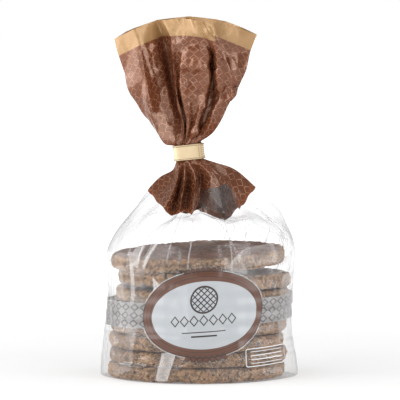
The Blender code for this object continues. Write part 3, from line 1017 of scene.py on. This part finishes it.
# Straight creases of the clear film, drawn as painted grey and white lines of shade and reflection, as their
# two ends in film coordinates, and how plain each is.
CREASES = (
    ((-64, 116), (-84, 78), 0.7), ((-52, 112), (-70, 74), 0.8), ((-46, 104), (-58, 66), 1.0),
    ((-38, 100), (-47, 62), 0.9), ((-30, 104), (-38, 60), 1.0), ((-22, 98), (-34, 64), 0.7),
    ((-14, 104), (-19, 66), 0.8), ((-3, 104), (-8, 58), 0.9), ((9, 106), (23, 64), 0.8),
    ((16, 102), (17, 60), 0.9), ((24, 100), (44, 76), 1.0), ((24, 98), (64, 78), 0.8),
    ((36, 100), (74, 84), 0.6), ((52, 96), (57, 70), 0.6), ((-70, 66), (-58, 8), 0.6),
    ((46, 74), (48, 30), 0.6), ((34, 40), (35, 4), 0.4), ((60, 66), (56, 10), 0.7),
    ((-60, 60), (-44, 22), 0.5), ((-56, 30), (-48, 2), 0.7), ((-12, 60), (-24, 40), 0.5),
)


def mark_film(piece, across, along):
    """Signed distance to the nearest patch of painted glare, the nearest painted crease line, and the
    strength of each.
    """
    random = np.random.default_rng(SEED + 4)
    spot = np.stack([across, along], axis=-1)
    painted_glare = np.full(across.shape, -5.0)
    strength = np.zeros(across.shape)
    for corners, glare_milk in PAINTED_GLARES:
        shape = np.array(corners, float)
        centre = shape.mean(axis=0)
        inside = np.full(across.shape, 9.0)
        for start, end in zip(shape, np.roll(shape, -1, axis=0)):
            edge = end - start
            normal = np.array([-edge[1], edge[0]]) / np.linalg.norm(edge)
            normal = normal * np.sign((centre - start) @ normal)
            inside = np.minimum(inside, (spot - start) @ normal)
        nearer = inside > painted_glare
        painted_glare = np.where(nearer, inside, painted_glare)
        strength = np.where(nearer, glare_milk, strength)
    crease = np.full(across.shape, 5.0)
    plain = np.zeros(across.shape)
    extra = []
    for _ in range(46):
        x = random.uniform(60, 162) * random.choice((-1, 1))
        top = random.uniform(60, 108)
        foot = (x + random.uniform(-9, 9), top - random.uniform(22, 52))
        extra.append(((x * 0.9, top), foot, random.uniform(0.4, 0.9)))
    for start, end, weight in (*CREASES, *extra):
        start, end = np.array(start, float), np.array(end, float)
        line = end - start
        t = np.clip(((spot - start) @ line) / (line @ line), 0, 1)
        away = np.linalg.norm(spot - (start + t[..., None] * line), axis=-1)
        nearer = away < crease
        crease = np.where(nearer, away, crease)
        plain = np.where(nearer, weight * (1 - 0.6 * np.abs(2 * t - 1) ** 3), plain)
    carry(piece, "painted_glare", painted_glare)
    carry(piece, "painted_glare_strength", strength)
    carry(piece, "crease", crease)
    carry(piece, "crease_strength", plain)


# ---- waffles ---------------------------------------------------------------------------------------


def spun(name, profile, steps):
    """A closed round solid from its outline, given as (radius, height) from the bottom up to the top."""
    mesh = bpy.data.meshes.new(name)
    points = [(radius * MM, 0.0, height * MM) for radius, height in profile]
    mesh.from_pydata(points, [(i, i + 1) for i in range(len(points) - 1)], [])
    piece = bpy.data.objects.new(name, mesh)
    bpy.context.scene.collection.objects.link(piece)
    select_only(piece)
    bpy.ops.object.mode_set(mode="EDIT")
    bpy.ops.mesh.select_all(action="SELECT")
    bpy.ops.mesh.spin(steps=steps, angle=2 * math.pi, center=(0, 0, 0), axis=(0, 0, 1))
    bpy.ops.mesh.select_all(action="SELECT")
    bpy.ops.mesh.remove_doubles(threshold=0.00002)
    bpy.ops.mesh.normals_make_consistent(inside=False)
    bpy.ops.object.mode_set(mode="OBJECT")
    return piece


def wafer_profile(radius, upper, fine):
    """A wafer's section for the upper wafer, rounded at its top outer edge, or upside down for the lower."""
    thickness = WAFER_THICKNESS
    inner = np.arange(1.5, radius - 9.5, 1.15) if fine else np.array([20.0, 34.0])
    rings = np.concatenate([inner, np.arange(radius - 9.0, radius - 2.9, 0.85)])
    section = [(0.0, 0.0), (20.0, 0.0), (radius - 6.0, 0.0), (radius - 1.4, 0.0), (radius, 0.0)]
    section += [(radius, 0.45), (radius, 0.85)]
    for i in range(9):
        turn = math.radians(90 * i / 8)
        section.append((radius - 2.8 + 2.8 * math.cos(turn), thickness - 2.7 + 2.7 * math.sin(turn)))
    section += [(float(r), thickness) for r in rings[::-1]] + [(0.0, thickness)]
    if upper:
        return section
    return [(r, thickness - height) for r, height in reversed(section)]


def seam_wave(points, seed):
    """How far the seam between two wafers wanders up and down round the rim."""
    return value_noise(points * (1, 1, 0), 11, seed + 7) * 0.55


def roughen(piece, radius, upper, seed, turned):
    """Crumbs and pits at the rim, and the iron's lattice pressed into the face."""
    points = points_of(piece) / MM
    flat = np.hypot(points[:, 0], points[:, 1])
    rim = eased((flat - (radius - 3.4)) / 2.0)
    level = points[:, 2] if upper else WAFER_THICKNESS - points[:, 2]
    outer = eased(level / WAFER_THICKNESS)
    away = np.maximum(flat, 1e-6)
    outward = np.stack([points[:, 0] / away, points[:, 1] / away, 0 * flat], axis=1)
    upward = np.array([0, 0, 1.0 if upper else -1.0])
    side = 0 if upper else 5
    plan = points * (1, 1, 0)
    bend = value_noise(plan, 15, seed) * 0.8 + value_noise(plan, 5, seed + 1) * 0.5
    solid = points + (0, 0, WAFER_THICKNESS * 1.01 if upper else 0.0)
    coarse = value_noise(solid, 1.5, seed + 2)
    fine = value_noise(solid, 0.85, seed + 3)
    shaded_pit = eased((-coarse - 0.30) / 0.4)
    crumb = 0.5 * coarse + 0.45 * fine - 0.5 * shaded_pit
    turn = math.radians(turned)
    a = points[:, 0] * math.cos(turn) + points[:, 1] * math.sin(turn)
    b = points[:, 1] * math.cos(turn) - points[:, 0] * math.sin(turn)
    lines = [1 - eased((np.abs(c % LATTICE_PITCH - LATTICE_PITCH / 2) - 0.4) / 1.0) for c in (a, b)]
    groove = np.maximum(*lines) * (1 - rim)
    swell = value_noise(plan, 9, seed + 4 + side) * 0.3
    rise = (swell - 0.55 * groove + 0.22 * fine * (1 - rim) + 0.35 * crumb * rim) * outer
    moved = points + outward * ((bend + crumb) * rim)[:, None] + upward * rise[:, None]
    moved[:, 2] += seam_wave(points, seed) * (1 - outer * 0.8)
    move_points(piece, moved * MM)
    carry(piece, "rim", np.clip(rim + 0.35 * coarse * rim, 0, 1))
    carry(piece, "groove", groove)
    # Painted shade: the pits in the rim are darkened, and faintly the rim next to the seam with the syrup.
    carry(piece, "shaded_pit", np.clip(shaded_pit * rim + (1 - eased(level / 0.5)) * rim * 0.1, 0, 1))


def place_tilted(piece, x, y, level, to_front, to_right):
    """Leans a piece about its own middle and sets it at its place in the stack, all in its mesh."""
    points = points_of(piece)
    front, side = math.tan(math.radians(to_front)), math.tan(math.radians(to_right))
    points[:, 2] += points[:, 1] * front - points[:, 0] * side + level * MM
    points[:, 0] += x * MM
    points[:, 1] += y * MM
    move_points(piece, points)


def waffle(number, crumb, syrup):
    """Two wafers with syrup between them."""
    x, y, base, radius, to_front, to_right = WAFFLES[number]
    seed = SEED + 20 * number
    gap = WAFFLE_THICKNESS - 2 * WAFER_THICKNESS
    top = number == len(WAFFLES) - 1
    for part, height, fine in (("lower", 0.0, number == 0), ("upper", WAFER_THICKNESS + gap, top)):
        upper = part == "upper"
        piece = spun(f"waffle_{number + 1}_{part}", wafer_profile(radius, upper, fine), QUICK_STEPS or 560)
        roughen(piece, radius, upper, seed, 38 + 23 * number)
        place_tilted(piece, x, y, base + height, to_front, to_right)
        smooth_from_angle(piece, 80)
        put(piece, "waffle", crumb)
    profile = [(0.0, -0.3), (30.0, -0.3), (radius - 4, -0.25), (radius - 1.6, -0.1), (radius - 1.1, gap / 2),
               (radius - 1.6, gap + 0.1), (radius - 4, gap + 0.25), (30.0, gap + 0.3), (0.0, gap + 0.3)]
    piece = spun(f"waffle_{number + 1}_syrup", profile, 300)
    points = points_of(piece) / MM
    flat = np.hypot(points[:, 0], points[:, 1])
    level = points * (1, 1, 0)
    spread = value_noise(level, 6, seed + 9) * 0.8 + value_noise(level, 2, seed + 10) * 0.4
    points[:, :2] *= (1 + spread * eased((flat - radius + 6) / 4) / radius)[:, None]
    points[:, 2] += seam_wave(points, seed)
    move_points(piece, points * MM)
    place_tilted(piece, x, y, base + WAFER_THICKNESS, to_front, to_right)
    smooth_from_angle(piece, 60)
    put(piece, "syrup", syrup)


# ---- tie -------------------------------------------------------------------------------------------


def tie_crimp(look):
    """The tie's pressed end: a narrow plate with small teeth across the right of its front."""
    bpy.ops.object.select_all(action="DESELECT")
    bpy.ops.mesh.primitive_grid_add(x_subdivisions=2, y_subdivisions=2 * CRIMP_TEETH + 1, size=1.0)
    plate = bpy.context.object
    plate.name = "tie_crimp"
    plate.data.name = "tie_crimp"
    bpy.ops.object.mode_set(mode="EDIT")
    bpy.ops.mesh.select_all(action="SELECT")
    bpy.ops.transform.resize(value=(CRIMP_WIDTH, 2 * TIE_HALF_HEIGHT, 1.0))
    bpy.ops.mesh.extrude_region_move(TRANSFORM_OT_translate={"value": (0, 0, 0.45)})
    bpy.ops.object.mode_set(mode="OBJECT")
    step = 2 * TIE_HALF_HEIGHT / (2 * CRIMP_TEETH + 1)
    for face in plate.data.polygons:
        row = round((face.center.y + TIE_HALF_HEIGHT) / step - 0.5)
        face.select = face.normal.z > 0.9 and row % 2 == 1 and face.center.x > 0
    bpy.ops.object.mode_set(mode="EDIT")
    bpy.ops.mesh.extrude_region_move(TRANSFORM_OT_translate={"value": (0, 0, 0.32)})
    bpy.ops.mesh.select_all(action="SELECT")
    bpy.ops.mesh.normals_make_consistent(inside=False)
    bpy.ops.object.mode_set(mode="OBJECT")
    apply_modifier(plate, "BEVEL", width=0.09, segments=2, limit_method="ANGLE")
    stand = Matrix.Rotation(math.radians(90), 4, "X")
    lean = Matrix.Rotation(-TIE_TILT, 4, "Y")
    offset = Matrix.Translation((TIE_RIGHT_END - CRIMP_WIDTH / 2 - 1.1, 1 - TIE_FRONT - 1.05, 0))
    place = Matrix.Scale(MM, 4) @ Matrix.Translation(TIE_CENTRE) @ lean @ offset @ stand
    plate.data.transform(place)
    smooth_from_angle(plate, 40)
    return put(plate, "gold_strip", look)


# ---- stage -----------------------------------------------------------------------------------------


def lamp(name, place, target, size, power):
    data = bpy.data.lights.new(name, "AREA")
    data.shape = "RECTANGLE"
    data.size, data.size_y = size
    data.energy = power
    data.color = (1.0, 1.0, 1.0)
    made = bpy.data.objects.new(name, data)
    bpy.context.scene.collection.objects.link(made)
    made.location = place
    aim(made, target)
    return made


def aim(thing, target):
    direction = Vector(target) - thing.location
    thing.rotation_euler = direction.to_track_quat("-Z", "Y").to_euler()


def studio():
    """White floor and surround, soft boxes, and the camera."""
    bpy.ops.object.select_all(action="DESELECT")
    bpy.ops.mesh.primitive_plane_add(size=12.0, location=(0, 0, 0))
    floor = bpy.context.object
    floor.name = "floor"
    made, flow = new_material("floor")
    place = flow.node("ShaderNodeTexCoord", out=3)
    away = flow.node("ShaderNodeVectorMath", {"operation": "LENGTH"}, {0: place}, out=1)
    glow = flow.mix(away.step(0.12, 0.9), (0.42, 0.42, 0.42), (1.0, 1.0, 1.0))
    sockets = {"Base Color": (0.55, 0.55, 0.55), "Roughness": 0.9, "Specular IOR Level": 0.1,
               "Emission Color": glow, "Emission Strength": 1.0}
    pale = flow.node("ShaderNodeBsdfPrincipled", None, sockets)
    floor.data.materials.append(finish_material(made, flow, pale))
    world = bpy.data.worlds.new("studio")
    world.use_nodes = True
    sky = Flow(world.node_tree)
    up = sky.node("ShaderNodeSeparateXYZ", None, {0: sky.node("ShaderNodeTexCoord")})
    rise = Flow(sky.tree, up.socket.node.outputs[2])
    background = world.node_tree.nodes["Background"]
    sky.feed(background.inputs["Color"], (1.0, 1.0, 1.0))
    seen = sky.node("ShaderNodeLightPath")
    soft = 0.50 - 0.15 * rise.step(0.10, 0.60)
    sky.feed(background.inputs["Strength"], soft.maximum(seen))
    bpy.context.scene.world = world
    middle = (0.0, 0.0, 0.10)
    lamp("left_box", (-1.05, -0.75, 0.55), middle, (0.7, 1.0), 7.0)
    lamp("left_side_box", (-1.25, 0.10, 0.35), middle, (0.9, 1.1), 5.5)
    lamp("left_strip", (-0.55, -1.15, 0.35), middle, (0.16, 0.9), 2.2)
    lamp("left_floor_card", (-0.48, 0.02, 0.04), (0.0, 0.0, 0.16), (0.5, 0.35), 1.1)
    lamp("right_box", (1.05, -0.85, 0.50), middle, (0.5, 1.0), 5.5)
    lamp("right_strip", (0.50, -1.15, 0.45), middle, (0.12, 0.8), 1.5)
    lamp("right_side_box", (1.2, 0.30, 0.35), middle, (0.6, 1.0), 4.0)
    lamp("right_floor_card", (0.46, -0.10, 0.04), (0.0, 0.0, 0.16), (0.4, 0.3), 0.7)
    lamp("top_box", (0.0, -0.25, 1.35), middle, (1.0, 0.8), 5.5)
    camera_data = bpy.data.cameras.new("camera")
    camera_data.sensor_width = 36.0
    camera_data.lens = 36.0 * CAMERA_DISTANCE / VIEW_WIDTH
    camera_data.clip_start = 0.05
    camera = bpy.data.objects.new("camera", camera_data)
    bpy.context.scene.collection.objects.link(camera)
    rise = math.radians(CAMERA_RISE)
    camera.location = (0.0, -CAMERA_DISTANCE * math.cos(rise), VIEW_MIDDLE + CAMERA_DISTANCE * math.sin(rise))
    aim(camera, (0.0, 0.0, VIEW_MIDDLE))
    bpy.context.scene.camera = camera
    bpy.context.scene.view_settings.view_transform = "Standard"
    bpy.context.scene.cycles.transparent_max_bounces = 24


def build():
    column = np.arange(COLUMNS) / COLUMNS
    skirt = skirt_stations(column)
    print_look, inside_look = printed_film(), film_inside()
    sleeve = printed_sleeve(column, skirt)
    put(sleeve, "printed_film", print_look, inside_look)
    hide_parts("bag")
    clear = clear_sleeve(column, skirt)
    put(clear, "clear_film", clear_film(), clear_inside())
    crumb, syrup = waffle_crumb(), sticky_syrup()
    for number in range(len(WAFFLES)):
        waffle(number, crumb, syrup)
    gold = gold_strip()
    tie = frame["nodes"]["tie"]
    tie.data.materials.clear()
    tie.data.materials.append(gold)
    tie_crimp(gold)


build()
studio()
